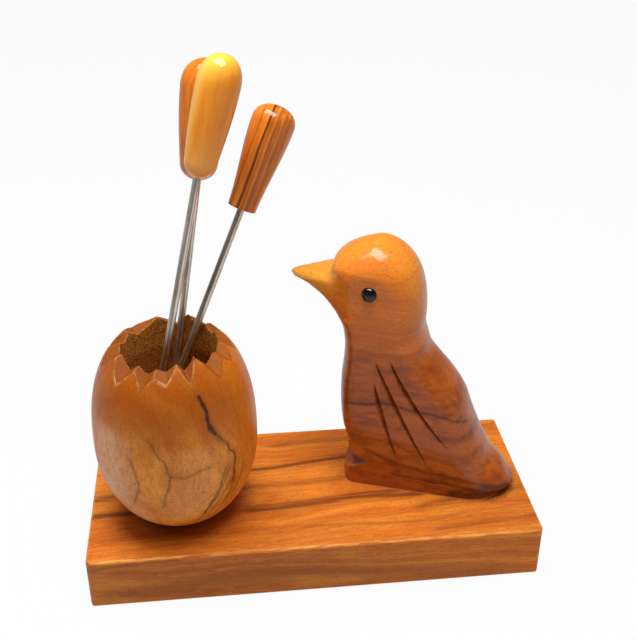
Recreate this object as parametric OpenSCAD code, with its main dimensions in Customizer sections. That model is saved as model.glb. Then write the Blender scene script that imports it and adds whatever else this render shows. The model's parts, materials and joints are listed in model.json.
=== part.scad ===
/* [Board] */
// Length of the board, along X
board_l = 140; // [130:1:180]
// Width of the board, front to back
board_w = 60; // [54:1:90]
// Thickness of the board
board_h = 17.7; // [16:0.1:22]
// Radius of the board's upright corners
board_corner_r = 2.2; // [1:0.1:6]
// Radius that the sandpaper left along the top and bottom edges
board_edge_r = 1; // [0.3:0.1:2.5]

/* [Egg cup] */
// Distance of the egg's axis from the left end of the board
egg_in = 28.5; // [27:0.5:34]
// Place of the egg's axis front to back, from the board's middle line
egg_y = -5; // [-8:0.5:8]
// Radius of the egg at its widest
egg_r = 24.8; // [22:0.1:28]
// Height of the widest place over the board
egg_widest_h = 28.2; // [25:0.1:32]
// Radius of the flat that the egg stands on
egg_foot_r = 9.8; // [8:0.1:12]
// Height from the widest place to the point where the whole egg would close
egg_crown_h = 37.4; // [36:0.1:42]
// Height of the broken rim over the board, at the bottom of its notches
rim_h = 58; // [55:0.1:59]
// Radius of the mouth inside the rim
mouth_r = 14.2; // [13.6:0.1:15]
// Radius of the hollow at its widest
hollow_r = 16; // [15.4:0.1:17]
// Thickness of the solid wood under the hollow
floor_h = 13; // [12:0.1:16]
// Radius where the floor of the hollow turns up into its wall
floor_fillet_r = 2.5; // [1:0.1:4]
// Slope of each knife cut, down and outwards
cut_slope = 26; // [20:1:40]

/* [Chick] */
// Distance of the middle of the chick's base from the right end of the board
chick_in = 30.2; // [28:0.1:36]
// Place of the chick front to back, from the board's middle line
chick_y = 2.5; // [-4:0.5:6]
// Turn of the chick about the upright, from the board's long side
chick_turn = -20; // [-30:1:0]
// Height of the chick; its outline grows with it
chick_h = 84; // [77:1:93]
// Thickness of the slab that the chick is cut from
chick_t = 24; // [20:0.5:28]
// Reach of the rounding along the chest and beak
chest_round = 5; // [3:0.5:7]
// Reach of the rounding over the crown of the head
crown_round = 20; // [14:0.5:22]
// Half the thickness of the beak at its tip
beak_tip_t = 1.6; // [1:0.1:2.5]
// Width of the widest wing groove
groove_w = 1.5; // [0.8:0.1:2.2]
// Depth of the widest wing groove
groove_d = 1.1; // [0.5:0.1:1.8]

/* [Eyes] */
// Diameter of each bead
bead_d = 4.5; // [4:0.1:6]
// Height that the bead stands out of the wood
bead_out = 1.5; // [1:0.1:2.2]
// Depth of the shallow seat round the bead
bead_seat = 0.5; // [0.3:0.1:0.8]
// Diameter of the bead's pin
bead_pin_d = 1.6; // [1.2:0.1:2]
// Length of the bead's pin under the seat
bead_pin_l = 5; // [3:0.5:7]

/* [Forks] */
// Diameter of the steel rods
rod_d = 2.2; // [1.8:0.1:2.6]
// Diameter of the steel in each tine
tine_d = 1.4; // [1.1:0.1:1.7]
// Distance between the two tines, centre to centre
tine_pitch = 2.8; // [2.6:0.1:3.4]
// Length of the tines, from the bend to the points
tine_l = 20; // [14:1:24]
// Length of the rod inside its handle
rod_seat_l = 18; // [12:1:22]
// Length that each fork's rod shows under its handle: pale, brown, striped
rod_l = [97.3, 91.1, 89.2]; // [86:0.1:100]
// Length of each handle: pale, brown, striped
handle_l = [34.2, 34.2, 31.3]; // [30:0.1:38]
// Widest diameter of each handle: pale, brown, striped
handle_d = [12.2, 14, 12.8]; // [11.6:0.1:14.4]
// Diameter of each handle at its lower end: pale, brown, striped
handle_end_d = [8.2, 9.9, 8.5]; // [7:0.1:10.5]
// Angle that each handle sits off its rod, as it was drilled, towards the right
handle_off = [3, -1.6, -0.7]; // [-5:0.1:5]

/* [Screws] */
// Diameter of the wood screws under the board
screw_d = 3.5; // [3:0.1:4]
// Length of the wood screws
screw_l = 25; // [22:1:26]
// Diameter of the countersunk heads
screw_head_d = 7; // [6:0.1:8]
// Depth of the heads under the underside of the board
screw_sunk = 1; // [0.5:0.1:2]
// Places of the two screws in the chick's base, from its middle
chick_screw_x = [-11, 13]; // [-20:1:20]

/* [Clearances] */
// Gap round a rod, a pin or a screw in its wood
fit_gap = 0.05; // [0.02:0.01:0.1]
// Gap between a fork and what it leans or stands on
lean_gap = 0.3; // [0.2:0.05:0.5]
// Gap round each screw in the board, which it only passes through
screw_gap = 0.25; // [0.1:0.05:0.5]

/* [Hidden] */
$fn = 48;
eps = 0.01;
egg_at = [egg_in - board_l / 2, egg_y];
chick_at = [board_l / 2 - chick_in, chick_y];
wood = "peru";
dark_wood = "sienna";

// The rim of the egg: each notch, then the tooth that follows it, anticlockwise from +X.
// Each entry is an angle and a height over the rim height.
rim = [[6, 0], [20, 2], [31, 0], [43, 1.9], [53, 0.3], [67, 3.3], [83, -0.2], [104, 2.2],
  [131, -1.2], [146, 1.3], [158, -0.6], [173, 1.2], [188, -0.7], [204, 2], [221, -0.7],
  [236, 1.8], [247, -0.3], [257, 1.6], [268, 0.9], [280, 3.1], [289, 0.5], [301, 3.6],
  [318, -0.3], [331, 1.8], [341, 0.6], [353, 2]];
notches = len(rim) / 2;

// Outline of the chick seen from its side: heights over its base, and places from its middle.
drawn_h = 84;
front = [[0, -27.5], [2, -27.5], [6, -27.2], [11, -26.4], [16, -26.8], [22, -28.4], [30, -29.1],
  [38, -29], [44, -28.4], [49, -28.1], [53, -28.3], [57, -29.1], [61, -31.3], [65, -35],
  [68, -39.3], [69.5, -45.8], [71, -38.3], [72, -33.3], [73, -32.6], [76.5, -32.2], [79.5, -28.6],
  [81.5, -24.4], [82.9, -20.1], [84, -15.5]];
front_corners = [0, 1, 15, 18];
back = [[0, 24.8], [3, 27.8], [8, 24], [12, 20], [16, 17.6], [21, 15.1], [27, 12.6], [33, 10.3],
  [39, 6.3], [44, 1.9], [48, -1.4], [52, -2.8], [56, -3.8], [61, -3.7], [66, -4], [70, -4.7],
  [74, -6.3], [77.5, -8.2], [80.5, -10.5], [82.7, -13.3], [84, -15.5]];
back_corners = [0, 1];
// Reach of the rounding down the back, by height
back_round = [[0, 14], [6, 12], [14, 8], [50, 8], [70, 11], [84, 11]];
// The notch between the breast and the foot: its apex, and the ends of its two sides
foot_notch = [[-18.5, 9.5], [-32, 1.5], [-32, 17]];
// Each wing groove runs through three points on the side of the body
grooves = [[[-17, 40], [-13.8, 26.5], [-8.7, 12.4]], [[-17, 48.1], [-8.9, 29.3], [1.3, 10.9]],
  [[-12.4, 48.8], [-4.7, 33.7], [7.5, 18.6]]];
eye_at = [-19.4, 70.6];
// Angle that each eye faces up, square to the rounding of the head
eye_tilt = 12;

// Where each fork stands on the floor of the hollow, from the egg's axis
foot_at = [[-10.8, -6.5], [-4.4, 5], [-12.1, -1]];
// The brown and the striped fork lean on the rim, at an angle round the egg and at the height
// over the rim height where a tooth comes nearest to the rod
rim_angle = [0, 73.7, 50.5];
rim_rise = [0, 2.2, 1.4];
// The pale fork leans on the brown one's handle: the side where it lies, as an angle about that
// handle, and how far up its own handle they touch
touch_side = -80.5;
touch_l = 20.7;
// Heading of each pair of tines, across the fork
tine_heading = [10, -10, -42];
point_l = 5;
point_r = 0.25;

function mix(a, b, t) = a + (b - a) * t;

// Catmull-Rom curve through points, with a straight run into each corner
function is_in(list, k) = len([for (c = list) if (c == k) 1]) > 0;
function before(p, i, corners) =
  i == 0 || is_in(corners, i) ? 2 * p[i] - p[i + 1] : p[i - 1];
function after(p, i, corners) =
  i + 2 == len(p) || is_in(corners, i + 1) ? 2 * p[i + 1] - p[i] : p[i + 2];
function blend(a, b, c, d, t) = 0.5 * (2 * b + (c - a) * t
  + (2 * a - 5 * b + 4 * c - d) * t * t + (3 * b - a - 3 * c + d) * t * t * t);
function curve(p, corners, steps) = [for (i = [0 : len(p) - 2], j = [0 : steps - 1])
  blend(before(p, i, corners), p[i], p[i + 1], after(p, i, corners), j / steps), p[len(p) - 1]];

// Rounded end: 0 at the edge, 1 where the rounding has died out
function rounded(x, n) = x <= 0 ? 0 : x >= 1 ? 1 : pow(1 - pow(1 - x, n), 1 / n);

// Radius of the whole egg at a height over the board
low_n = 2.12;
high_n = 2.47;
egg_low_h = egg_widest_h / pow(1 - pow(egg_foot_r / egg_r, low_n), 1 / low_n);
function egg_radius(z) = z < egg_widest_h
  ? egg_r * pow(1 - pow((egg_widest_h - z) / egg_low_h, low_n), 1 / low_n)
  : egg_r * pow(1 - pow((z - egg_widest_h) / egg_crown_h, high_n), 1 / high_n);
// The block is turned up to here, over the highest tooth, and its rings crowd towards the top
egg_top_share = 0.92;
egg_top = egg_widest_h + egg_top_share * egg_crown_h;
egg_steps = 36;
egg_crowding = 1.3;

// Radius of the hollow at a height over the board: a barrel under a straight neck
neck_h = 8;
hollow_low = floor_h + floor_fillet_r;
function hollow_radius(z) = z > rim_h - neck_h ? mouth_r
  : mix(mouth_r, hollow_r, cos(90 * pow((z - hollow_low) / (rim_h - neck_h - hollow_low), 2)));
hollow_steps = 10;

module base_board() color(wood) difference() {
  intersection() {
    linear_extrude(board_h) rounded_plan(board_l, board_w, board_corner_r);
    rotate([90, 0, 90]) translate([0, board_h / 2, -board_l])
      linear_extrude(2 * board_l) rounded_plan(board_w, board_h, board_edge_r);
    rotate([90, 0, 0]) translate([0, board_h / 2, -board_w])
      linear_extrude(2 * board_w) rounded_plan(board_l, board_h, board_edge_r);
  }
  for (p = screw_places) translate([p[0], p[1], 0]) screw_hole();
}

// Rectangle with round corners, from two bars and four discs
module rounded_plan(l, w, r) {
  square([l - 2 * r, w], center = true);
  square([l, w - 2 * r], center = true);
  for (x = [-1, 1], y = [-1, 1]) translate([x * (l / 2 - r), y * (w / 2 - r)]) circle(r);
}

// Screws: one under the egg and two under the chick
function on_chick(x) = [chick_at[0] + x * cos(chick_turn), chick_at[1] + x * sin(chick_turn)];
screw_places = [egg_at, on_chick(chick_screw_x[0]), on_chick(chick_screw_x[1])];
head_slope_h = (screw_head_d - screw_d) / 2;
screw_tip_h = 3;
screw_tip_r = 0.3;
screw_top = screw_sunk + screw_l;
// The cross in each head: length and width of its arms, and its depth
cross = [4, 0.8, 1.4];

module screw_hole() {
  translate([0, 0, -eps]) cylinder(r = screw_d / 2 + screw_gap, h = board_h + 2 * eps);
  translate([0, 0, screw_sunk]) cylinder(r1 = screw_head_d / 2 + fit_gap,
    r2 = screw_d / 2 + fit_gap, h = head_slope_h);
  translate([0, 0, -eps]) cylinder(r = screw_head_d / 2 + fit_gap, h = screw_sunk + eps);
}

module screw(place) color("silver") translate([place[0], place[1], screw_sunk]) difference() {
  union() {
    cylinder(r1 = screw_head_d / 2, r2 = screw_d / 2, h = head_slope_h);
    cylinder(r = screw_d / 2, h = screw_l - screw_tip_h);
    translate([0, 0, screw_l - screw_tip_h]) cylinder(r1 = screw_d / 2, r2 = screw_tip_r,
      h = screw_tip_h);
  }
  for (turn = [0, 90]) rotate([0, 0, turn])
    translate([-cross[0] / 2, -cross[1] / 2, -eps]) cube(cross);
}

// Pilot hole for a screw, from the top of the board into what stands on it
module pilot() cylinder(r = screw_d / 2 + fit_gap, h = screw_top - board_h + lean_gap);

module egg_cup() color(wood) translate([egg_at[0], egg_at[1], board_h]) difference() {
  rotate_extrude() polygon(concat([[0, 0]],
    [for (i = [0 : egg_steps]) let (z = egg_top * (1 - pow(1 - i / egg_steps, egg_crowding)))
      [egg_radius(z), z]], [[0, egg_top]]));
  hollow();
  for (i = [0 : notches - 1]) knife_cut(i);
  translate([0, 0, -eps]) pilot();
}

module hollow() rotate_extrude() polygon(concat([[0, floor_h]],
  [for (a = [0 : 18 : 90]) [hollow_r - floor_fillet_r * (1 - sin(a)),
    floor_h + floor_fillet_r * (1 - cos(a))]],
  [for (i = [1 : hollow_steps]) let (z = mix(hollow_low, rim_h - neck_h, i / hollow_steps))
    [hollow_radius(z), z]],
  [[mouth_r, egg_top + eps], [0, egg_top + eps]]));

// One V cut across the rim, sloping outwards, between its two teeth. It starts inside the
// mouth and runs out past the egg, and its sides go on past the tips of the teeth.
cut_inside = mouth_r / 2;
cut_outside = egg_r / 2;
cut_up = egg_crown_h / 2;
past = 1.25;
module knife_cut(i) {
  notch = rim[2 * i];
  tooth_l = rim[2 * i + 1];
  tooth_r = rim[(2 * i - 1 + len(rim)) % len(rim)];
  half_l = mouth_r * sin((tooth_l[0] - notch[0] + 360) % 360);
  half_r = mouth_r * sin((notch[0] - tooth_r[0] + 360) % 360);
  rise_l = (tooth_l[1] - notch[1]) * cos(cut_slope);
  rise_r = (tooth_r[1] - notch[1]) * cos(cut_slope);
  rotate([0, 0, notch[0]]) translate([mouth_r, 0, rim_h + notch[1]]) rotate([0, cut_slope, 0])
    translate([-cut_inside, 0, 0]) rotate([90, 0, 90]) linear_extrude(cut_inside + cut_outside)
      polygon([[0, 0], [half_l * past, rise_l * past], [half_l * past, cut_up],
        [-half_r * past, cut_up], [-half_r * past, rise_r * past]]);
}

// The chick is a stack of flat rings, each a rounded bar from the breast to the back
ring_steps = 3;
bar_points = 12;
chick_scale = chick_h / drawn_h;
front_line = curve(front, front_corners, ring_steps);
back_line = curve(back, back_corners, ring_steps);
crown_power = 2;
edge_power = 2.5;
beak_x = front[15][1];
beak_from_h = front[12][0];
beak_spread = 0.52;
throat_spread = 1.2;
// How sharply the body's rounding gives way to the beak's
beak_blend = 1.2;
// Each ring keeps this half thickness at its two ends, and bulges by as much again in its
// middle; it keeps this length where the crown closes
edge_flat = 0.1;
crown_flat = 2;
function half_thickness(x, z, x0, x1) =
  let (half = (x1 - x0) / 2,
    crown = rounded((drawn_h - z) / crown_round, crown_power),
    chest = rounded((x - x0) / min(chest_round, half), edge_power),
    rear = rounded((x1 - x) / min(lookup(z, back_round), half), edge_power),
    bar = chick_t / 2 * crown * chest * rear,
    beak = beak_tip_t + beak_spread * (x - beak_x) + throat_spread * max(0, beak_from_h - z),
    least = edge_flat * (1 + (x - x0) * (x1 - x) / (half * half)))
  max(least, -ln(exp(-beak_blend * bar) + exp(-beak_blend * beak)) / beak_blend);
function ring(p) =
  let (x1 = max(lookup(p[0], back_line), p[1] + crown_flat),
    side = [for (i = [0 : bar_points - 1]) mix(p[1], x1, (1 - cos(180 * i / (bar_points - 1))) / 2)])
  concat([for (x = side) [x, -half_thickness(x, p[0], p[1], x1), p[0]]],
    [for (i = [bar_points - 1 : -1 : 0]) [side[i], half_thickness(side[i], p[0], p[1], x1), p[0]]]);

module chick_block() {
  rings = [for (p = front_line) ring(p)];
  n = len(rings);
  m = 2 * bar_points;
  polyhedron([for (r = rings, p = r) [p[0] * chick_scale, p[1], p[2] * chick_scale]],
    concat([[for (j = [0 : m - 1]) j]], [[for (j = [m - 1 : -1 : 0]) (n - 1) * m + j]],
      [for (i = [0 : n - 2], j = [0 : m - 1]) let (k = (j + 1) % m)
        each [[i * m + j, (i + 1) * m + j, i * m + k], [i * m + k, (i + 1) * m + j, (i + 1) * m + k]]]));
}

// A groove cut with a V tool: it starts and ends narrow, and is widest a little before its middle.
// The tool's V runs on out of the wood, so that it leaves no skin over the groove.
groove_stations = 8;
groove_end = 0.12;
groove_early = 0.8;
groove_over = 0.6;
step_ahead = 0.01;
function arc(g, t) = mix(mix(g[0], 2 * g[1] - (g[0] + g[2]) / 2, t),
  mix(2 * g[1] - (g[0] + g[2]) / 2, g[2], t), t);
function swell(t) = mix(groove_end, 1, sin(180 * pow(t, groove_early)));
module groove(g) {
  face = chick_t / 2;
  stations = [for (i = [0 : groove_stations]) let (t = i / groove_stations,
      p = arc(g, t) * chick_scale, q = arc(g, t + step_ahead) * chick_scale, along = (q - p) / norm(q - p),
      half = groove_w / 2 * swell(t) * (groove_d + groove_over) / groove_d, deep = groove_d * swell(t))
    each [[p[0] - along[1] * half, -face - groove_over, p[1] + along[0] * half],
      [p[0] + along[1] * half, -face - groove_over, p[1] - along[0] * half], [p[0], -face + deep, p[1]]]];
  last = 3 * groove_stations;
  polyhedron(stations, concat([[0, 1, 2], [last, last + 2, last + 1]],
    [for (i = [0 : groove_stations - 1], j = [0 : 2]) let (k = (j + 1) % 3, a = 3 * i)
      each [[a + j, a + 3 + j, a + k], [a + k, a + 3 + j, a + 3 + k]]]));
}

module place_chick() translate([chick_at[0], chick_at[1], board_h]) rotate([0, 0, chick_turn])
  children();

// A bead's place on one side of the head: -1 is the chick's left, towards the viewer
eye_face = half_thickness(eye_at[0], eye_at[1], lookup(eye_at[1], front_line),
  lookup(eye_at[1], back_line));
module place_bead(side) place_chick() translate([eye_at[0] * chick_scale, side * eye_face,
  eye_at[1] * chick_scale]) rotate([side * (eye_tilt - 90), 0, 0]) children();

module chick_body() color(dark_wood) difference() {
  place_chick() difference() {
    chick_block();
    rotate([90, 0, 0]) linear_extrude(2 * chick_t, center = true)
      polygon(foot_notch * chick_scale);
    for (g = grooves, flip = [0, 1]) mirror([0, flip, 0]) groove(g);
    for (x = chick_screw_x) translate([x, 0, -eps]) pilot();
  }
  for (side = [-1, 1]) place_bead(side) bead_socket();
}

// The bead's own axis points out of the head, and its seat is cut through the wood's rounding
module bead_socket() {
  translate([0, 0, -bead_seat]) cylinder(r = bead_d / 2 + fit_gap, h = bead_seat + bead_d);
  translate([0, 0, -bead_seat - bead_pin_l - lean_gap])
    cylinder(r = bead_pin_d / 2 + fit_gap, h = bead_pin_l + lean_gap + eps);
}

module bead() color("black") rotate_extrude() polygon(concat(
  [[0, -bead_seat - bead_pin_l], [bead_pin_d / 2, -bead_seat - bead_pin_l],
    [bead_pin_d / 2, -bead_seat], [bead_d / 2, -bead_seat]],
  [for (a = [0 : 9 : 81]) [bead_d / 2 * cos(a), bead_out * sin(a)]], [[0, bead_out]]));

// Forks: each stands on its points and leans on something higher up, so its line runs from
// its foot on the floor of the hollow to the place where it leans
rod_r = rod_d / 2;
lean_r = mouth_r - rod_r - lean_gap;
function unit(v) = v / norm(v);
function tilt(v) = atan2(norm([v[0], v[1]]), v[2]);
function heading(v) = atan2(v[1], v[0]);
function foot(k) = [egg_at[0] + foot_at[k][0], egg_at[1] + foot_at[k][1], board_h + floor_h];
function on_rim(k) = [egg_at[0] + lean_r * cos(rim_angle[k]), egg_at[1] + lean_r * sin(rim_angle[k]),
  board_h + rim_h + rim_rise[k]];
function on_handle() = handle_base(1) + widest_share[1] * handle_l[1] * unit(handle_dir(1))
  + ((handle_d[0] + handle_d[1]) / 2 + lean_gap) * [cos(touch_side), sin(touch_side), 0]
  - [touch_l * sin(handle_off[0]), 0, 0];
function leans_at(k) = k == 0 ? on_handle() : on_rim(k);

// The lower of the two points stays a gap over the floor
function tine_turn(k) = tine_heading[k] - heading(leans_at(k) - foot(k));
function tip(k) = foot(k) + [0, 0, lean_gap + (tine_pitch / 2 * abs(cos(tine_turn(k))) + point_r)
  * sin(tilt(leans_at(k) - foot(k)))];
function run(k) = leans_at(k) - tip(k);
function handle_dir(k) = let (d = run(k) / run(k)[2]) [tan(atan(d[0]) + handle_off[k]), d[1], 1];
function handle_base(k) = tip(k) + rod_l[k] * unit(run(k));

module on_rod(k) translate(tip(k)) rotate([0, tilt(run(k)), heading(run(k))]) children();

// Radius of a handle at a share of its length: it swells to its widest, then rounds over
widest_share = [0.76, 0.76, 0.83];
swell_power = [1.1, 1.1, 1.5];
rounding_share = 0.13;
rounding_power = 2.2;
function is_flat(k) = k == 2;
function handle_radius(k, t) = t < widest_share[k]
  ? mix(handle_end_d[k], handle_d[k], sin(90 * pow(t / widest_share[k], swell_power[k]))) / 2
    * (is_flat(k) || t > rounding_share ? 1 : rounded(t / rounding_share, rounding_power))
  : handle_d[k] / 2 * rounded((1 - t) / (1 - widest_share[k]), rounding_power);
handle_steps = 24;

module fork_handle(k) difference() {
  translate(handle_base(k)) rotate([0, tilt(handle_dir(k)), heading(handle_dir(k))])
    rotate_extrude() polygon(concat([[0, 0]],
      [for (i = [is_flat(k) ? 0 : 1 : handle_steps - 1])
        let (t = (1 - cos(180 * i / handle_steps)) / 2) [handle_radius(k, t), t * handle_l[k]]],
      [[0, handle_l[k]]]));
  on_rod(k) translate([0, 0, rod_l[k] - rod_r])
    cylinder(r = rod_r + fit_gap, h = rod_r + rod_seat_l + lean_gap);
}

// The tines and their bend are one round wire, and the rod is welded on top of the bend
module fork_rod(k) color("gainsboro") on_rod(k) rotate([0, 0, tine_turn(k)]) {
  tine_r = tine_d / 2;
  bend_r = tine_pitch / 2;
  rod_from = tine_l + bend_r - tine_r / 2;
  for (side = [-1, 1]) translate([side * bend_r, 0, 0]) {
    translate([0, 0, point_l]) cylinder(r = tine_r, h = tine_l - point_l);
    cylinder(r1 = point_r, r2 = tine_r, h = point_l);
  }
  translate([0, 0, tine_l]) rotate([90, 0, 0]) rotate_extrude(angle = 180)
    translate([bend_r, 0]) circle(tine_r);
  translate([0, 0, rod_from]) cylinder(r = rod_r, h = rod_l[k] + rod_seat_l - rod_from);
}

base_board();
egg_cup();
chick_body();
place_bead(-1) bead();  // left_eye_bead
place_bead(1) bead();  // right_eye_bead
screw(screw_places[0]);  // egg_cup_screw
screw(screw_places[1]);  // chick_front_screw
screw(screw_places[2]);  // chick_rear_screw
color("goldenrod") fork_handle(0);  // pale_fork_handle
fork_rod(0);  // pale_fork_rod
color(dark_wood) fork_handle(1);  // brown_fork_handle
fork_rod(1);  // brown_fork_rod
color("saddlebrown") fork_handle(2);  // striped_fork_handle
fork_rod(2);  // striped_fork_rod
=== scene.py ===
import json
import math

import bpy
import numpy as np
from mathutils import Matrix, Vector


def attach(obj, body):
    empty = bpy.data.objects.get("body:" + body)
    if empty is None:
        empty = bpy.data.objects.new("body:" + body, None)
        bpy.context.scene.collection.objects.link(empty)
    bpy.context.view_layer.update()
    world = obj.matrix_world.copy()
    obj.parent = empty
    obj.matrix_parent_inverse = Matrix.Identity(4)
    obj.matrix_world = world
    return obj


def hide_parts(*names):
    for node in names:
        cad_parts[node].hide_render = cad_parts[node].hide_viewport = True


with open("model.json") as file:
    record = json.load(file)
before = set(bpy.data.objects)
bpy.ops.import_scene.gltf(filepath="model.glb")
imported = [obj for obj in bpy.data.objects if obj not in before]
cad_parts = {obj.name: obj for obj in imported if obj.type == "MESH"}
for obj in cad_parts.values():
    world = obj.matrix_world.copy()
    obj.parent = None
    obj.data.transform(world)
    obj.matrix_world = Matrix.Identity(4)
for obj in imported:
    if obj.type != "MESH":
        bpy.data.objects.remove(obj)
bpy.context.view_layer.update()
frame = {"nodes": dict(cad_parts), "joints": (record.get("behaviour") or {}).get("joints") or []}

# --- The view ---
# The photograph looks 30 degrees down on the stand, from a little to the left of its middle.
# The perspective was solved from the corners of the board.
MM = 0.001
PHOTO_HEIGHT, FOCAL_LENGTH = 640, 1005.6  # in pixels
camera_place = Vector((-25.65, -258.74, 228.09)) * MM
yaw, pitch, roll = (math.radians(angle) for angle in (6.279, 29.720, 0.1245))

ahead = Vector((math.sin(yaw) * math.cos(pitch), math.cos(yaw) * math.cos(pitch), -math.sin(pitch)))
sideways = Vector((math.cos(yaw), -math.sin(yaw), 0))
upwards = sideways.cross(ahead)
to_the_right = math.cos(roll) * sideways + math.sin(roll) * upwards
to_the_top = math.cos(roll) * upwards - math.sin(roll) * sideways

camera_data = bpy.data.cameras.new("photograph_view")
camera_data.sensor_width = 36
camera_data.lens = FOCAL_LENGTH * camera_data.sensor_width / PHOTO_HEIGHT
camera_data.clip_start, camera_data.clip_end = 0.01, 20
camera = bpy.data.objects.new("photograph_view", camera_data)
view_turn = Matrix((to_the_right, to_the_top, -ahead)).transposed().to_4x4()
camera.matrix_world = Matrix.Translation(camera_place) @ view_turn
bpy.context.scene.collection.objects.link(camera)
bpy.context.scene.camera = camera
bpy.context.scene.view_settings.view_transform = "Standard"


# --- The white table and the studio light ---
# The stand is photographed on white paper in a bright room: a long lamp right overhead gives
# the gloss on the handles and on the crown, and white all round it lights every side.
class Value:
    """A number or a vector that varies over a surface; Python's operators add its Math nodes."""

    def __init__(self, finish, socket):
        self.finish, self.socket = finish, socket

    def math(self, operation, *others):
        return self.finish.node("Math", {"operation": operation}, [self, *others])

    def __add__(self, other):
        return self.math("ADD", other)

    def __mul__(self, other):
        return self.math("MULTIPLY", other)

    def __sub__(self, other):
        return self.math("SUBTRACT", other)

    def __truediv__(self, other):
        return self.math("DIVIDE", other)

    def __rsub__(self, other):
        return self * -1 + other

    def __abs__(self):
        return self.math("ABSOLUTE")

    __radd__, __rmul__ = __add__, __mul__


class Finish:
    """A material made of nodes, with a Principled shader at its end."""

    def __init__(self, name, tree=None, **shader):
        if tree is None:
            self.material = bpy.data.materials.new(name)
            self.material.use_nodes = True
            tree = self.material.node_tree
        self.tree = tree
        self.shader = tree.nodes.get("Principled BSDF")
        for socket, value in shader.items():
            self.shader.inputs[socket.replace("_", " ")].default_value = value

    def node(self, kind, settings=None, inputs=(), output=0):
        """Adds a node: first its settings, of which points are a curve's, then the values or
        links of its sockets."""
        made = self.tree.nodes.new("ShaderNode" + kind)
        for name, value in (settings or {}).items():
            if name == "points":
                line = made.mapping.curves[0].points
                for point in value[2:]:
                    line.new(*point)
                for spot, point in zip(line, sorted(value)):
                    spot.location = point
                made.mapping.update()
            else:
                setattr(made, name, value)
        for key, value in inputs.items() if isinstance(inputs, dict) else enumerate(inputs):
            if isinstance(value, Value):
                self.tree.links.new(value.socket, made.inputs[key])
            else:
                made.inputs[key].default_value = value
        return Value(self, made.outputs[output])

    def feed(self, **inputs):
        """Links values that vary over the surface to the Principled shader."""
        for socket, value in inputs.items():
            self.tree.links.new(value.socket, self.shader.inputs[socket.replace("_", " ")])


def colour(red, green, blue):
    """A colour written as on a screen, 0 to 255, as the light values that a shader takes."""
    share = [value / 255 for value in (red, green, blue)]
    return [s / 12.92 if s < 0.04045 else ((s + 0.055) / 1.055) ** 2.4 for s in share] + [1.0]


def rays(finish, *kinds):
    """1 for these kinds of ray, such as those that the camera sees directly, and 0 for others."""
    path = finish.node("LightPath").socket.node.outputs
    return sum(Value(finish, path[f"Is {kind} Ray"]) for kind in kinds).math("MINIMUM", 1)


# How bright the room is where it lights the stand, and where its gloss mirrors the room, which
# dims from the walls to the ceiling. The camera sees it white.
ROOM_LIGHT, PALE_WALLS, DIM_CEILING, CEILING_FROM = 0.22, 0.26, 0.06, 0.32
WHITE = (1, 1, 1, 1)
world = bpy.data.worlds.new("white_room")
world.use_nodes = True
bpy.context.scene.world = world
room = Finish("white_room", world.node_tree)
backdrop = world.node_tree.nodes["Background"]
backdrop.inputs["Color"].default_value = WHITE
direction = room.node("TexCoord", output="Generated")
height = room.node("SeparateXYZ", None, [direction], "Z")
ends = {
    "Value": height,
    "From Min": 0.0,
    "From Max": CEILING_FROM,
    "To Min": PALE_WALLS,
    "To Max": DIM_CEILING,
}
surroundings = room.node("MapRange", {"interpolation_type": "SMOOTHSTEP"}, ends)
mirrored, seen = rays(room, "Glossy"), rays(room, "Camera", "Transmission")
brightness = seen + (1 - seen) * (mirrored * surroundings + (1 - mirrored) * ROOM_LIGHT)
world.node_tree.links.new(brightness.socket, backdrop.inputs["Strength"])

# The share of white glow in the paper, as the camera sees it and as gloss mirrors it. The rest of
# it is matt, and carries the stand's shadow.
PAPER_GLOW, PAPER_GLOSS, MATT_GREY = 0.94, 0.25, (0.6, 0.6, 0.6, 1)
paper = Finish("white_paper")
shown = rays(paper, "Camera", "Transmission") * PAPER_GLOW + rays(paper, "Glossy") * PAPER_GLOSS
matt = paper.node("BsdfDiffuse", None, {"Color": MATT_GREY})
glow = paper.node("Emission", None, {"Color": WHITE})
surface = paper.node("MixShader", None, [shown.math("MINIMUM", 1), matt, glow])
paper.tree.links.new(surface.socket, paper.tree.nodes["Material Output"].inputs["Surface"])

TABLE_EDGE = 2.0  # how far the paper reaches to each side, in metres
table_mesh = bpy.data.meshes.new("white_table")
corners = [(x * TABLE_EDGE, y * TABLE_EDGE, 0) for x, y in ((-1, -1), (1, -1), (1, 1), (-1, 1))]
table_mesh.from_pydata(corners, [], [(0, 1, 2, 3)])
table_mesh.materials.append(paper.material)
table = bpy.data.objects.new("white_table", table_mesh)
bpy.context.scene.collection.objects.link(table)

# The lamp, in metres and watts: half a metre long, over the stand and facing it
lamp_place, lamp_target = Vector((-0.04, -0.02, 0.62)), Vector((-0.02, 0, 0.05))
lamp_data = bpy.data.lights.new("overhead_strip", "AREA")
lamp_data.shape, lamp_data.size, lamp_data.size_y = "RECTANGLE", 0.5, 0.24
lamp_data.energy = 5.2
lamp = bpy.data.objects.new("overhead_strip", lamp_data)
lamp_turn = (lamp_target - lamp_place).to_track_quat("-Z", "Y").to_matrix().to_4x4()
lamp.matrix_world = Matrix.Translation(lamp_place) @ lamp_turn
bpy.context.scene.collection.objects.link(lamp)


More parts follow.
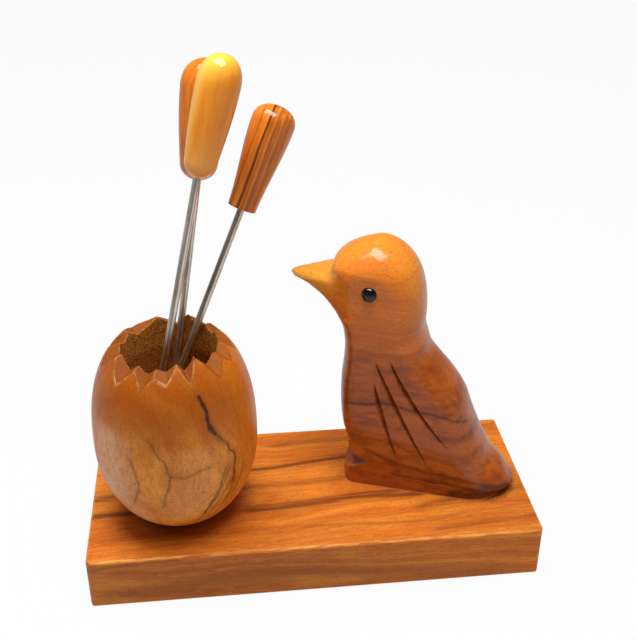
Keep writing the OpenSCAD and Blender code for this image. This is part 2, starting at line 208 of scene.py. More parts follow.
# --- The board ---
# A sawn and sanded plank of olive wood, rubbed with oil. Its grain runs along it, rising a
# little to the right, with brown heartwood lines across the top and a broad brown band in front.
class Wood(Finish):
    """A finish that is worked out in millimetres from a point, along the grain of the piece."""

    def __init__(self, name, centre=(0, 0, 0), turn=(0, 0, 0), **shader):
        super().__init__(name, **shader)
        place = {
            "Vector": self.node("TexCoord", output="Object"),
            "Location": [side * MM for side in centre],
            "Rotation": [math.radians(angle) for angle in turn],
            "Scale": (MM, MM, MM),
        }
        spot = self.node("Mapping", {"vector_type": "TEXTURE"}, place)
        apart = self.node("SeparateXYZ", None, [spot]).socket.node.outputs
        self.x, self.y, self.z = (Value(self, side) for side in apart)

    def cloud(self, x, y, z, detail=2, roughness=0.5):
        """Smooth noise from 0 to 1, one cell for every unit of its three values."""
        spot = self.node("CombineXYZ", None, [x, y, z])
        noise = {"Vector": spot, "Scale": 1, "Detail": detail, "Roughness": roughness}
        return self.node("TexNoise", None, noise)

    def rise(self, value, low, high):
        """0 up to low and 1 from high, with an easy slope between."""
        ends = {"Value": value, "From Min": low, "From Max": high}
        return self.node("MapRange", {"interpolation_type": "SMOOTHSTEP"}, ends)

    def line(self, along, across, points, width, halo=0):
        """1 on a curved line drawn through points (along, across), fading over its width and
        towards its ends, with a fainter halo where one is given."""
        starts, heights = zip(*points)
        (first, last), (low, high) = (starts[0], starts[-1]), (min(heights) - 1, max(heights) + 1)
        shares = [((a - first) / (last - first), (b - low) / (high - low)) for a, b in points]
        share = (along - first) / (last - first)
        path = self.node("FloatCurve", {"points": shares}, {"Value": share}) * (high - low) + low
        ends = self.rise(share, 0, 0.12) * (1 - self.rise(share, 0.88, 1))
        away = abs(across - path)
        core = 1 - self.rise(away, 0, width)
        return (core if not halo else core + (1 - self.rise(away, 0, halo)) * 0.4) * ends

    def rings(self, x, y, z, heart, width, wander):
        """Noise that changes across the year rings round the heart, and slowly along the grain."""
        drift = (self.cloud(x / 60, y / 28, z / 28) - 0.5) * wander
        side, height = y - heart[0], z - heart[1]
        ring = (side * side + height * height).math("SQRT") + drift
        return self.cloud(x / 260, ring / width, 0, 5, 0.62)

    def shade(self, factor, under, over):
        """One colour under another, which shows by a factor."""
        return self.node("Mix", {"data_type": "RGBA"}, {0: factor, 6: under, 7: over}, 2)

    def relief(self, height, depth):
        """Small bumps, as deep as this many millimetres."""
        bump = self.node("Bump", None, {"Height": height, "Distance": depth * MM, "Strength": 1.0})
        self.feed(Normal=bump)


def dress(name, finish):
    """Gives a CAD node, which keeps its mesh, a finish as its only material."""
    materials = frame["nodes"][name].data.materials
    materials.clear()
    materials.append(finish.material)


BOARD_L, BOARD_W, BOARD_H = 140, 60, 17.7
EGG_AT = np.array((-41.5, -5.0, BOARD_H))
plank = Wood("oiled_board", Specular_IOR_Level=0.2)
x, y, z = plank.x, plank.y, plank.z
# The grain's own direction, its year rings, fibres and pores, and where the top has worn
risen = y - x * 0.055
band = plank.rings(x, risen, z, (6, -46), 3.2, 9)
fibre = plank.cloud(x / 16, risen / 0.45, z / 0.45, 4, 0.7)
dash = plank.cloud(x / 5, risen / 0.7, z / 0.7, 2)
pore = plank.rise(plank.cloud(x / 2.2, risen / 0.35, z / 0.35, 2), 0.64, 0.72)
worn = plank.cloud(x / 25, y / 9, z / 9, 3)
on_top = plank.rise(z, BOARD_H - 1.3, BOARD_H - 0.5)
wavering = y + (worn - 0.5) * 1.2
# The brown lines across the top: how dark, how wide, how wide the halo, and the points
BROWN_LINES = (
    (0.85, 1.3, 4, [(-22, 9.3), (-11, 10), (0, 11.5), (18, 14)]),
    (0.8, 1.5, 5, [(-26, -10.8), (-10, -10.6), (4, -9.4), (17, -8), (31, -8.6), (41, -9)]),
    (0.5, 1.2, 0, [(-26, -9), (-10, -8.8), (4, -7.8), (17, -6.3), (34, -6.6)]),
    (0.7, 1.6, 4, [(-74, -10.2), (-60, -8.8), (-44, -10)]),
    (0.5, 2.6, 6, [(-74, -2), (-62, 0.2), (-48, 1)]),
    (0.4, 1.8, 0, [(34, -26.4), (52, -24.3), (74, -22.2)]),
    (0.35, 2, 4, [(-18, 20.4), (0, 22.6), (20, 23.8), (74, 26)]),
    (0.4, 2.4, 7, [(30, -16), (48, -12), (74, -8)]),
    (0.45, 2.2, 0, [(-26, 0.2), (-12, 0.9), (2, 1.2), (16, 2.8)]),
    (0.35, 1.5, 0, [(-8, -21), (10, -20.4), (26, -21.6), (50, -18)]),
)
brown = on_top * sum(
    plank.line(x, wavering, points, width, halo) * depth
    for depth, width, halo, points in BROWN_LINES
)
front_band = (1 - on_top) * (
    plank.line(x, z, [(-72, 3.4), (-40, 6.5), (-20, 8), (18, 5.6), (44, 3.2), (72, 2.4)], 4.2)
    + plank.line(x, z, [(-74, 12), (-63, 15.5), (-40, 16.6)], 1.3)
)
# Light and brown wood; painted shade dulls the front; darker at the top's right and front
tone = plank.shade(plank.rise(band, 0.36, 0.62), colour(238, 142, 44), colour(206, 105, 28))
tone = plank.shade(plank.rise(band, 0.56, 0.72) * 0.5, tone, colour(142, 64, 20))
# Painted shade: the front face is darkened, most of all at its left end
tone = plank.shade((1 - on_top) * (0.4 - plank.rise(x, -10, 60) * 0.36), tone, colour(142, 76, 42))
tone = plank.shade(plank.rise(x + band * 30, 40, 80) * on_top * 0.3, tone, colour(150, 74, 24))
tone = plank.shade(plank.rise(-1 * risen, 12, 28) * on_top * 0.3, tone, colour(168, 84, 26))
# What wear, fibres, grit, the brown lines and pores leave on it
tone = plank.shade(plank.rise(worn, 0.5, 0.75) * 0.35, tone, colour(240, 152, 48))
tone = plank.shade(plank.rise(fibre, 0.45, 0.72) * 0.4, tone, colour(136, 60, 16))
grit = plank.cloud(x / 0.8, y / 0.5, z / 0.5, 3, 0.7)
tone = plank.shade(plank.rise(grit, 0.48, 0.62) * 0.2, tone, colour(120, 56, 18))
tone = plank.shade(plank.rise(dash, 0.5, 0.75) * 0.22, tone, colour(244, 160, 66))
brown = (brown * plank.rise(fibre, 0.1, 0.6)).math("MINIMUM", 0.75)
tone = plank.shade(brown, tone, colour(92, 38, 14))
tone = plank.shade(front_band * 0.5, tone, colour(120, 62, 34))
tone = plank.shade(pore * 0.5, tone, colour(84, 34, 10))
# Painted shadow darkens the board round the egg's foot, and the board's edges are rubbed pale
egg_x, egg_y = x - EGG_AT[0], y - EGG_AT[1]
from_egg = (egg_x * egg_x + egg_y * egg_y).math("SQRT")
# Painted shadow round the foot of the egg
tone = plank.shade((1 - plank.rise(from_egg, 10, 19)) * 0.55, tone, colour(60, 24, 8))


def near_end(away, length):
    """1 close to either end of a length, measured from its middle."""
    return plank.rise(abs(away), length / 2 - 1, length / 2 - 0.2)


along, across, up = near_end(x, BOARD_L), near_end(y, BOARD_W), near_end(z - BOARD_H / 2, BOARD_H)
rubbed = (along * across + across * up + along * up).math("MINIMUM", 1) * plank.rise(dash, 0.4, 0.6)
tone = plank.shade(rubbed * 0.5, tone, colour(250, 186, 96))
plank.feed(Base_Color=tone, Roughness=fibre * 0.12 + pore * 0.2 + 0.4)
plank.relief(fibre * -0.4 - pore, 0.05)

dress("base_board", plank)


# --- The egg cup ---
# An egg turned from one block of olive wood, with a rough hollow bored in its top. Thirteen
# knife cuts, which slope down and outwards, leave its rim broken like a shell. One screw from
# under the board holds it.
EGG_R, WIDEST_H, FOOT_R, CROWN_H = 24.8, 28.2, 9.8, 37.4
RIM_H, MOUTH_R, HOLLOW_R, NECK_H, FLOOR_H, FILLET_R = 58.0, 14.2, 16.0, 50.0, 13.0, 2.5
LOW_POWER, HIGH_POWER, CUT_SLOPE = 2.12, 2.47, math.tan(math.radians(26))
LOW_H = WIDEST_H / (1 - (FOOT_R / EGG_R) ** LOW_POWER) ** (1 / LOW_POWER)
# Each notch and then the tooth that follows it: an angle, and a height over the rim height
RIM = np.array([
    [6, 0], [20, 2], [31, 0], [43, 1.9], [53, 0.3], [67, 3.3], [83, -0.2], [104, 2.2],
    [131, -1.2], [146, 1.3], [158, -0.6], [173, 1.2], [188, -0.7], [204, 2], [221, -0.7],
    [236, 1.8], [247, -0.3], [257, 1.6], [268, 0.9], [280, 3.1], [289, 0.5], [301, 3.6],
    [318, -0.3], [331, 1.8], [341, 0.6], [353, 2],
])


def egg_radius(height):
    """Radius (1 - (distance from the widest place / reach) ^ power) ^ (1 / power), a quarter of a
    rounded oblong above the widest place and another one below it."""
    below = height < WIDEST_H
    reach, power = np.where(below, LOW_H, CROWN_H), np.where(below, LOW_POWER, HIGH_POWER)
    return EGG_R * np.clip(1 - (np.abs(height - WIDEST_H) / reach) ** power, 0, 1) ** (1 / power)


def rim_heights(radius, angle):
    """The two lowest of the V cuts at each place. A cut's height is its notch's, plus its tooth's
    rise times the share of the way across to the tooth, minus the slope times the way outwards.
    At the back left the rim broke the other way, and slopes in."""
    back_left = np.exp(-(((angle - 133) / 20) ** 4))
    slope = CUT_SLOPE - 0.85 * back_left
    cuts = []
    for i in range(0, len(RIM), 2):
        turn, low = RIM[i]
        away = np.radians((angle - turn + 180) % 360 - 180)
        along, across = radius * np.cos(away), radius * np.sin(away)
        after, before = RIM[(i + 1) % len(RIM), :, None, None], RIM[i - 1, :, None, None]
        tooth_turn, tooth = np.where(across > 0, after, before)
        half = MOUTH_R * np.sin(np.radians(np.abs((tooth_turn - turn + 180) % 360 - 180)))
        height = RIM_H + low + (tooth - low) * np.abs(across) / half - slope * (along - MOUTH_R)
        cuts.append(np.where((np.abs(across) < 1.7 * half) & (along > 0), height, 99.0))
    return np.sort(cuts, axis=0)[:2]


def eased(start, corner, end, steps):
    """A corner rounded by a parabola: (1 - t)^2 start + 2 t (1 - t) corner + t^2 end."""
    t = np.linspace(0, 1, steps)[:, None, None]
    return (1 - t) ** 2 * start + 2 * t * (1 - t) * corner + t**2 * end


def shell(name, rings, **marks):
    """A closed skin over rings of points. Each ring is joined to the next, its last point to its
    first, and each end ring to the point in its middle. Marks are numbers kept on the points."""
    count, around = rings.shape[:2]
    here = np.arange(count * around).reshape(count, around)
    beside = np.roll(here, -1, axis=1)
    walls = np.stack([here[:-1], beside[:-1], beside[1:], here[1:]], -1).reshape(-1, 4)
    ends = np.full((2, around), [[count * around], [count * around + 1]])
    first_cap, last_cap = (beside[0], here[0], ends[0]), (here[-1], beside[-1], ends[1])
    caps = np.concatenate([np.stack(cap, -1) for cap in (first_cap, last_cap)])
    points = np.concatenate([rings.reshape(-1, 3), rings[[0, -1]].mean(axis=1)]) * MM
    mesh = bpy.data.meshes.new(name)
    mesh.from_pydata(points.tolist(), [], walls.tolist() + caps.tolist())
    for mark, values in marks.items():
        values = np.append(np.broadcast_to(values, (count, around)), [0, 0]).astype(np.float32)
        mesh.attributes.new(mark, "FLOAT", "POINT").data.foreach_set("value", values)
    return mesh


def piece(name, mesh, finish, body, slot, *nodes):
    """Puts a mesh in the scene in place of CAD nodes, smooth but for its sharp edges."""
    mesh.shade_smooth()
    mesh.set_sharp_from_angle(angle=math.radians(38))
    mesh.materials.clear()
    mesh.materials.append(finish.material)
    made = bpy.data.objects.new(name, mesh)
    bpy.context.scene.collection.objects.link(made)
    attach(made, body)
    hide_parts(*nodes)


# The radius where the cuts meet the outside, halved in on between the mouth and the widest place
angle = np.linspace(0, 360, 480, endpoint=False)[None, :]
inner, outer = np.full_like(angle, MOUTH_R), np.full_like(angle, EGG_R)
for _ in range(40):
    middle = (inner + outer) / 2
    inside = egg_radius(rim_heights(middle, angle)[0]) > middle
    inner, outer = np.where(inside, middle, inner), np.where(inside, outer, middle)

# One upright section for each angle, as rows of (radius, height), from the screw hole in the
# foot up the outside, in over the cut rim, and down the hollow to the middle of its floor
edge_r, lip = inner, 0.35
crest = np.linspace(0, 1, 26)[:, None] * (MOUTH_R - edge_r + 2 * lip) + edge_r - lip
heights = rim_heights(crest, angle)
over, ridge = heights[0], np.clip(1 - (heights[1] - heights[0]) / 0.7, 0, 1)
mouth_r = np.full_like(angle, MOUTH_R)
edge_z, mouth_z = rim_heights(edge_r, angle)[0], rim_heights(mouth_r, angle)[0]
wall_z = np.linspace(0, 1, 88)[:, None] ** 1.3 * (edge_z - lip)
row = np.ones_like(angle)


def section(radius, height):
    """Rows of radius and height as one array of points across the section."""
    return np.stack(np.broadcast_arrays(radius * row, height * row), -1)


outside = section(egg_radius(wall_z), wall_z)
top = section(crest, over)
turned_out = eased(outside[-1:], section(edge_r, edge_z), top[:1], 6)
neck = section(MOUTH_R, np.linspace(0, 1, 9)[:, None] * (NECK_H - mouth_z + lip) + mouth_z - lip)
turned_in = eased(top[-1:], section(MOUTH_R, mouth_z), neck[:1], 5)
down = np.linspace(0, 1, 30)[1:, None]
swell = MOUTH_R + (HOLLOW_R - MOUTH_R) * np.cos(math.pi / 2 * (1 - down) ** 2)
barrel = section(swell, NECK_H + (FLOOR_H + FILLET_R - NECK_H) * down)
quarter = np.linspace(0, math.pi / 2, 7)[1:, None]
inwards, upward = 1 - np.cos(quarter), 1 - np.sin(quarter)
fillet = section(HOLLOW_R - FILLET_R * inwards, FLOOR_H + FILLET_R * upward)
floor = section(np.array([[9.0], [4.5], [0.5]]), FLOOR_H)
PILOT_R, PILOT_H = 1.8, 8.6
foot = section(
    np.array([[0.02], [PILOT_R], [PILOT_R], [6.0]]), np.array([[PILOT_H], [PILOT_H], [0], [0]])
)
outer_rows, rim_rows = [foot, outside], [turned_out[1:], top[1:]]
bore_rows = [turned_in[1:], neck[1:], barrel, fillet, floor]
rows = np.concatenate(outer_rows + rim_rows + bore_rows)

# Marks on the points: the cut rim, its raised edges and ridges, and the bore
rim_at = len(foot) + len(outside)
crest_at = rim_at + len(rim_rows[0])
bore_at = crest_at + len(rim_rows[1])
cut, raised, bored = (np.zeros(rows.shape[:2]) for _ in range(3))
cut[rim_at:bore_at] = 1
raised[rim_at - 1 : crest_at] = 1
raised[crest_at:bore_at] = ridge[1:]
bored[bore_at:] = 1
round_it, (radii, heights) = np.radians(angle), np.moveaxis(rows, -1, 0)
rings = np.stack([radii * np.cos(round_it), radii * np.sin(round_it), heights], -1)
egg_mesh = shell("egg_cup_turned", rings + EGG_AT, cut=cut, raised=raised, bored=bored)

turned = Wood("turned_egg", centre=EGG_AT, turn=(0, 0, -90), Specular_IOR_Level=0.18)
x, y, z = turned.x, turned.y, turned.z
about = y.math("ARCTAN2", x) * EGG_R
cut, raised, bored = (
    turned.node("Attribute", {"attribute_name": mark}, (), "Fac")
    for mark in ("cut", "raised", "bored")
)
flow = turned.rings(z + x * 0.3, y, x, (14, -30), 3.6, 20)
fine = turned.cloud(x / 0.9, y / 0.9, z / 3.2, 4, 0.7)
grit = turned.cloud(x / 0.7, y / 0.7, z / 0.8, 3, 0.7)
cloudy = turned.cloud(x / 9, y / 8, z / 11, 4, 0.62)
speck = turned.rise(turned.cloud(x / 0.6, y / 0.6, z / 1.4, 2), 0.62, 0.7)
waver = (turned.cloud(x / 4, y / 4, z / 4, 3) - 0.5) * 3
around_it = about + waver
flame = turned.rise(turned.cloud(around_it / 2, z / 26, 3, 3), 0.53, 0.68)
TURN = EGG_R * math.pi / 180  # a degree round the egg, in millimetres


def drawn(across, points, width, halo=0):
    """A line up the egg, through points (height, angle from the front)."""
    return turned.line(z, across, [(height, turn * TURN) for height, turn in points], width, halo)


# A knot in a bruise at its front right, the cracks that run down from it, and fainter ones
burr = turned.cloud(x / 1.1, y / 1.1, z / 1.6, 3, 0.6)
knot_points = [(39.6, 31.5), (42.5, 28.6), (46.4, 26.4), (51, 24.8), (54.4, 22.6)]
knot = drawn(about + waver * 0.5, knot_points, 1.7)
knot = turned.rise(knot * 0.7 + burr * 0.9, 0.76, 1.08)
bruise = drawn(around_it, [(35, 37), (40, 31), (47, 26.6), (56, 21)], 2.8)
vein_points = [(19, 36), (23, 43), (28, 45), (31, 44), (36.5, 38.3), (41, 31), (43.5, 28)]
vein = drawn(around_it, vein_points, 0.6, 2.6)
branch = drawn(around_it, [(10, 20), (17, 26), (24, 33), (31, 38.5)], 0.7, 2.4)
split_points = [(16, -11), (24, -6), (28, -4), (32, -3.2), (37, -10), (44, -19)]
split = drawn(around_it, split_points, 0.7, 2.6)
bow = drawn(around_it, [(15, -35), (23, -27.5), (27, -25.3), (31, -27.5), (37, -35)], 0.6, 2.2)
cross_points = [(-4, 30), (6, 29.4), (16, 30.4), (28, 31.5)]
cross_points = [(turn * TURN, height) for turn, height in cross_points]
cross = turned.line(about, z + waver * 0.5, cross_points, 1.1, 2.6)
stripes = sum(
    drawn(around_it, points, 0.55, 1.8)
    for points in (
        [(7, 14), (14, 22.5), (20, 31), (26, 37.5), (29, 40)],
        [(8, 22), (14, 29), (20, 36), (25, 41)],
        [(9, 30), (14, 36), (19, 41.5), (24, 46)],
        [(11, 37), (16, 43), (22, 50), (28, 54)],
    )
)
# Wood paler low in front, browner above, more orange at its right; a painted sheen at its left
pale = drawn(about, [(8, 2), (20, 10), (30, 16), (40, 12)], 16)
tone = turned.shade(turned.rise(flow, 0.4, 0.6), colour(246, 154, 54), colour(214, 112, 30))
tone = turned.shade(turned.rise(cloudy, 0.4, 0.62) * 0.5, tone, colour(212, 108, 24))
tone = turned.shade(pale * 0.5, tone, colour(244, 168, 92))
tone = turned.shade(turned.rise(z + waver, 32, 50) * 0.8, tone, colour(160, 76, 8))
tone = turned.shade(turned.rise(about, 12, 34) * 0.5, tone, colour(244, 136, 30))
# A painted sheen, pale and pinkish, down its left side
painted_left_sheen = drawn(about, [(2, -30), (14, -40), (28, -46), (44, -50)], 12)
tone = turned.shade(painted_left_sheen * 0.7, tone, colour(240, 184, 138))
tone = turned.shade(flame * 0.16, tone, colour(140, 66, 18))
tone = turned.shade(turned.rise(grit, 0.46, 0.62) * 0.22, tone, colour(136, 68, 24))
tone = turned.shade(turned.rise(fine, 0.48, 0.7) * 0.32, tone, colour(132, 62, 20))
veins = vein * 0.7 + branch * 0.45 + split * 0.42 + bow * 0.4 + cross * 0.32 + stripes * 0.45
veins = (veins * (turned.rise(fine, 0.2, 0.6) * 0.5 + 0.5)).math("MINIMUM", 0.9)
tone = turned.shade(veins, tone, colour(88, 44, 22))
tone = turned.shade(bruise * 0.45, tone, colour(118, 58, 20))
tone = turned.shade(knot * 0.85, tone, colour(48, 32, 24))
tone = turned.shade(speck * 0.3, tone, colour(90, 44, 16))
# The cuts and the bore are torn wood, with pale splinters along the edges of the cuts
torn = turned.cloud(x / 0.55, y / 0.55, z / 0.7, 4, 0.75)
tone = turned.shade(cut * (turned.rise(torn, 0.3, 0.6) * 0.35 + 0.4), tone, colour(122, 62, 6))
splinters = turned.rise(raised, 0.4, 1) * turned.rise(cloudy + torn * 0.5, 0.7, 0.9)
tone = turned.shade(splinters * 0.5, tone, colour(244, 184, 112))
inside_tone = turned.shade(turned.rise(torn, 0.36, 0.6), colour(118, 62, 20), colour(226, 146, 60))
tone = turned.shade(bored, tone, inside_tone)
turned.feed(Base_Color=tone, Roughness=fine * 0.1 + bored * 0.45 + cut * 0.25 + 0.3)
turned.relief(torn * (bored + cut * 0.25) * 6 - knot - fine * 0.15, 0.1)
piece("egg_cup_turned", egg_mesh, turned, "stand", "egg_wood", "egg_cup")


# --- The chick ---
# Sawn to an outline from a slab of reddish olive wood, rounded with rasp and sandpaper and
# varnished. Each wing is three strokes of a V tool, and a notch parts the breast from the foot.
# Two screws from under the board hold it.
CHICK_AT, CHICK_TURN, CHICK_H, SLAB = np.array((39.8, 2.5, BOARD_H)), -20, 84.0, 24.0
# Both sides of the outline, from the foot to the crown: a height, and the place along the slab
FRONT = np.array([
    [0, -27.5], [2, -27.5], [6, -27.2], [11, -26.4], [16, -26.8], [22, -28.4], [30, -29.1],
    [38, -29], [44, -28.4], [49, -28.1], [53, -28.3], [57, -29.1], [61, -31.3], [65, -35],
    [67.6, -39.6], [68.6, -44.6], [69.6, -46.1], [70.7, -44.4], [72, -38.3], [73.2, -33.4],
    [74.1, -32.7], [76.8, -32], [79.7, -29.2], [82, -25.2], [83.4, -21.4], [83.9, -19.4],
    [84, -18],
])
BACK = np.array([
    [0, 24.8], [3, 27.8], [8, 24], [12, 20], [16, 17.6], [21, 15.1], [27, 12.6], [33, 10.3],
    [39, 6.3], [44, 1.9], [48, -1.4], [52, -2.8], [56, -3.8], [61, -3.7], [66, -4], [70, -4.7],
    [74, -5.9], [77.5, -7.7], [80.2, -10], [82.4, -12.9], [83.7, -16], [84, -18],
])


def outline(points, corners):
    """A smooth line through points: on the stretch from b to c, with a before and d after, half
    of 2b + (c - a)t + (2a - 5b + 4c - d)t^2 + (3b - a - 3c + d)t^3. It is straight at a corner."""
    t = np.linspace(0, 1, 40, endpoint=False)[:, None]
    stretches = []
    for i, (b, c) in enumerate(zip(points, points[1:])):
        a = 2 * b - c if i == 0 or i in corners else points[i - 1]
        d = 2 * c - b if i + 2 == len(points) or i + 1 in corners else points[i + 2]
        square, cube = 2 * a - 5 * b + 4 * c - d, 3 * b - a - 3 * c + d
        stretches.append(0.5 * (2 * b + (c - a) * t + square * t**2 + cube * t**3))
    return np.concatenate([*stretches, points[-1:]])


# Both smoothed, and then joined over the crown
breast, rear = outline(FRONT, (0, 1, 19)), outline(BACK, (0, 1))
edge = np.concatenate([breast[:-1:6], rear[::-6]])


def rounded(share, power):
    """A rounded end: (1 - (1 - share)^power)^(1 / power), 0 at the edge and 1 past the rounding."""
    return (1 - (1 - np.clip(share, 0, 1)) ** power) ** (1 / power)


def half_thickness(x, z, first, last):
    """Half the slab, rounded over the shortest way to the stretches of the outline, with a reach
    that grows towards the crown. It gives way smoothly to the beak, a wedge with rounded edges."""
    share = np.clip((x - first) / (last - first), 0, 1)
    front_reach = np.interp(z, [0, 60, 76, 84], [5, 5, 8, 15])
    back_reach = np.interp(z, [0, 6, 14, 50, 70, 84], [14, 12, 8, 8, 9, 15])
    blend = share**2 * (3 - 2 * share)
    here = np.stack([z, x], -1)[..., None, :]
    along = edge[1:] - edge[:-1]
    t = np.clip(((here - edge[:-1]) * along).sum(-1) / (along**2).sum(-1), 0, 1)[..., None]
    away = np.linalg.norm(here - edge[:-1] - t * along, axis=-1).min(axis=-1)
    bar = SLAB / 2 * rounded(away / (front_reach + (back_reach - front_reach) * blend), 2.3)
    # The beak thickens back from its tip and down into the throat, between two lines
    wedge = 2.1 + 0.5 * (x + 45.8) + 1.2 * np.maximum(0, 61 - z)
    top = np.interp(x, [-46.2, -44.4, -38.3, -33.4, -29], [69.9, 71, 72.3, 73.5, 110])
    throat_x, throat_z = [-46.2, -44.6, -39.6, -35, -31.3, -28], [69.4, 68.3, 67.3, 64.6, 60.6, -20]
    throat = np.interp(x, throat_x, throat_z)
    wedge = wedge * rounded((top - z) / 2.4, 2) * rounded((z - throat) / 1.6, 2)
    least = 0.1 * (1 + share * (1 - share) * 4)
    return np.maximum(least, -np.log(np.exp(-1.2 * bar) + np.exp(-1.2 * wedge)) / 1.2)


# The level of each ring, so that rings lie evenly along the outline and over the crown
fine_z = CHICK_H * (1 - (1 - np.linspace(0, 1, 8000)) ** 2)
trail = np.stack([
    fine_z,
    np.interp(fine_z, *breast.T),
    np.interp(fine_z, *rear.T),
    SLAB / 2 * rounded((CHICK_H - fine_z) / 20, 2),
])
walked = np.concatenate([[0], np.cumsum(np.linalg.norm(np.diff(trail), axis=0))])
levels = np.interp(np.linspace(0, walked[-1], 320), walked, fine_z)[:, None]
first, last = np.interp(levels, *breast.T), np.interp(levels, *rear.T)
middle, reach = (first + last) / 2, np.maximum((last - first) / 2, 0.4)
first, last = middle - reach, middle + reach
share = (1 - np.cos(np.linspace(0, math.pi, 110))) / 2
x = first + (last - first) * share
z = levels + 0 * x
half = half_thickness(x, z, first, last)
near, far = np.stack([x, -half, z], -1), np.stack([x, half, z], -1)[:, ::-1]
chick_rings = np.concatenate([near, far], axis=1)


def outward(rings):
    """Rings that run anticlockwise seen from the last one, so that their skin faces out: the area
    that the middle ring runs round, half the sum of p x next p, points to the last ring."""
    middle = rings[len(rings) // 2]
    area = np.cross(middle, np.roll(middle, -1, axis=0)).sum(axis=0)
    return rings if area @ (rings[-1] - rings[0]).mean(axis=0) > 0 else rings[:, ::-1]


def turned_to(points, place, turn):
    """Points turned by a rotation and then moved to a place."""
    return points @ np.array(turn).T + place


def tube(radii, heights, around=48):
    """Rings round the Z axis, one for each radius and height."""
    turn = np.linspace(0, 2 * math.pi, around, endpoint=False)
    radii, heights = np.array(radii, float)[:, None], np.array(heights, float)[:, None]
    return np.stack([radii * np.cos(turn), radii * np.sin(turn), heights + 0 * turn], -1)


def carved(mesh, cutters):
    """The mesh after these closed shells have been taken out of it."""
    tool_mesh = bpy.data.meshes.new("tool")
    points, faces = [], []
    for cutter in cutters:
        faces += [[len(points) + corner for corner in face.vertices] for face in cutter.polygons]
        points += [tuple(point.co) for point in cutter.vertices]
    tool_mesh.from_pydata(points, [], faces)
    work, tool = bpy.data.objects.new("work", mesh), bpy.data.objects.new("tool", tool_mesh)
    for item in (work, tool):
        bpy.context.scene.collection.objects.link(item)
    step = work.modifiers.new("carve", "BOOLEAN")
    step.operation, step.solver, step.object = "DIFFERENCE", "MANIFOLD", tool
    graph = bpy.context.evaluated_depsgraph_get()
    done = bpy.data.meshes.new_from_object(work.evaluated_get(graph))
    for item in (work, tool):
        bpy.data.objects.remove(item)
    return done


chick_turn = np.array(Matrix.Rotation(math.radians(CHICK_TURN), 3, "Z"))
cutters = []
# Each stroke starts at its top, passes through its middle and ends at its foot
GROOVES = (
    ((-17, 40), (-13.8, 26.5), (-8.7, 12.4)),
    ((-17, 48.1), (-8.9, 29.3), (1.3, 10.9)),
    ((-12.4, 48.8), (-4.7, 33.7), (7.5, 18.6)),
)
GROOVE_HALF, GROOVE_D, OVER = 0.95, 1.2, 0.6  # the tool reaches this far over the wood
for start, through, end in np.array(GROOVES):
    # A parabola through three points; the V is widest and deepest in the middle of the stroke
    t = np.linspace(0, 1, 40)[:, None]
    bend = 2 * through - (start + end) / 2
    path = (1 - t) ** 2 * start + 2 * t * (1 - t) * bend + t**2 * end
    way = np.gradient(path, axis=0)
    way /= np.linalg.norm(way, axis=1, keepdims=True)
    stroke = 0.12 + 0.88 * np.sin(math.pi * t[:, 0] ** 0.8)
    wide, deep = GROOVE_HALF * stroke * (1 + OVER / GROOVE_D), GROOVE_D * stroke
    across = np.stack([-way[:, 1], way[:, 0]], -1) * wide[:, None]
    for side in (-1, 1):
        depths = (SLAB / 2 + OVER, SLAB / 2 + OVER, SLAB / 2 - deep)
        corners = (path - side * across, path + side * across, path)
        cutters.append(
            np.stack([np.insert(line, 1, side * y, axis=1) for line, y in zip(corners, depths)], 1)
        )
# The notch over the foot goes right through, and the screws' pilot holes come from below
notch = np.array([[-18.5, 9.5], [-32, 1.5], [-32, 17]])
cutters.append(np.stack([np.insert(notch, 1, y, axis=1) for y in (-SLAB, SLAB)]))
for screw_x in (-11, 13):
    cutters.append(tube([PILOT_R, PILOT_R], [-1, PILOT_H]) + (screw_x, 0, 0))
# Each bead leans up a little on the rounded side of the head, in a seat with a hole for its pin
EYE_X, EYE_Z, EYE_TILT, BEAD_R, BEAD_OUT, SEAT = -19.4, 70.6, 12, 2.25, 1.5, 0.5
PIN_R, PIN_L = 0.8, 5.0
FIT, SPARE = 0.05, 0.3  # how much wider and deeper a hole is than what it holds
eye_ends = np.interp(EYE_Z, *breast.T), np.interp(EYE_Z, *rear.T)
eye_y = float(half_thickness(*np.array([EYE_X, EYE_Z, *eye_ends])))
eyes = []
for side in (-1, 1):
    bead_turn = np.array(Matrix.Rotation(math.radians(side * (EYE_TILT - 90)), 3, "X"))
    eyes.append(((EYE_X, side * eye_y, EYE_Z), bead_turn))
    seat_z = [-SEAT - PIN_L - SPARE, -SEAT, -SEAT, 4]
    socket = tube([PIN_R + FIT, PIN_R + FIT, BEAD_R + FIT, BEAD_R + FIT], seat_z)
    cutters.append(turned_to(socket, *eyes[-1]))
shells = [shell("tool", outward(turned_to(rings, CHICK_AT, chick_turn))) for rings in cutters]
chick_mesh = carved(shell("chick_carved", turned_to(chick_rings, CHICK_AT, chick_turn)), shells)

varnish = dict(Specular_IOR_Level=0.05, Coat_Weight=0.55, Coat_Roughness=0.14)
slab = Wood("varnished_chick", centre=CHICK_AT, turn=(0, 0, CHICK_TURN), **varnish)
x, y, z = slab.x, slab.y, slab.z
waver = (slab.cloud(x / 6, y / 6, z / 6, 3) - 0.5) * 2.2
bands = slab.rings(x - z * 0.1, y, z + x * 0.05, (4, -60), 4.5, 12)
fibre = slab.cloud(x / 8, y / 0.7, z / 0.45, 4, 0.7)
grit = slab.cloud(x / 0.7, y / 0.7, z / 0.6, 3, 0.7)
blotch = slab.cloud(x / 7, y / 5, z / 3.5, 4, 0.65)
speck = slab.rise(slab.cloud(x / 1.4, y / 0.5, z / 0.45, 2), 0.6, 0.7)
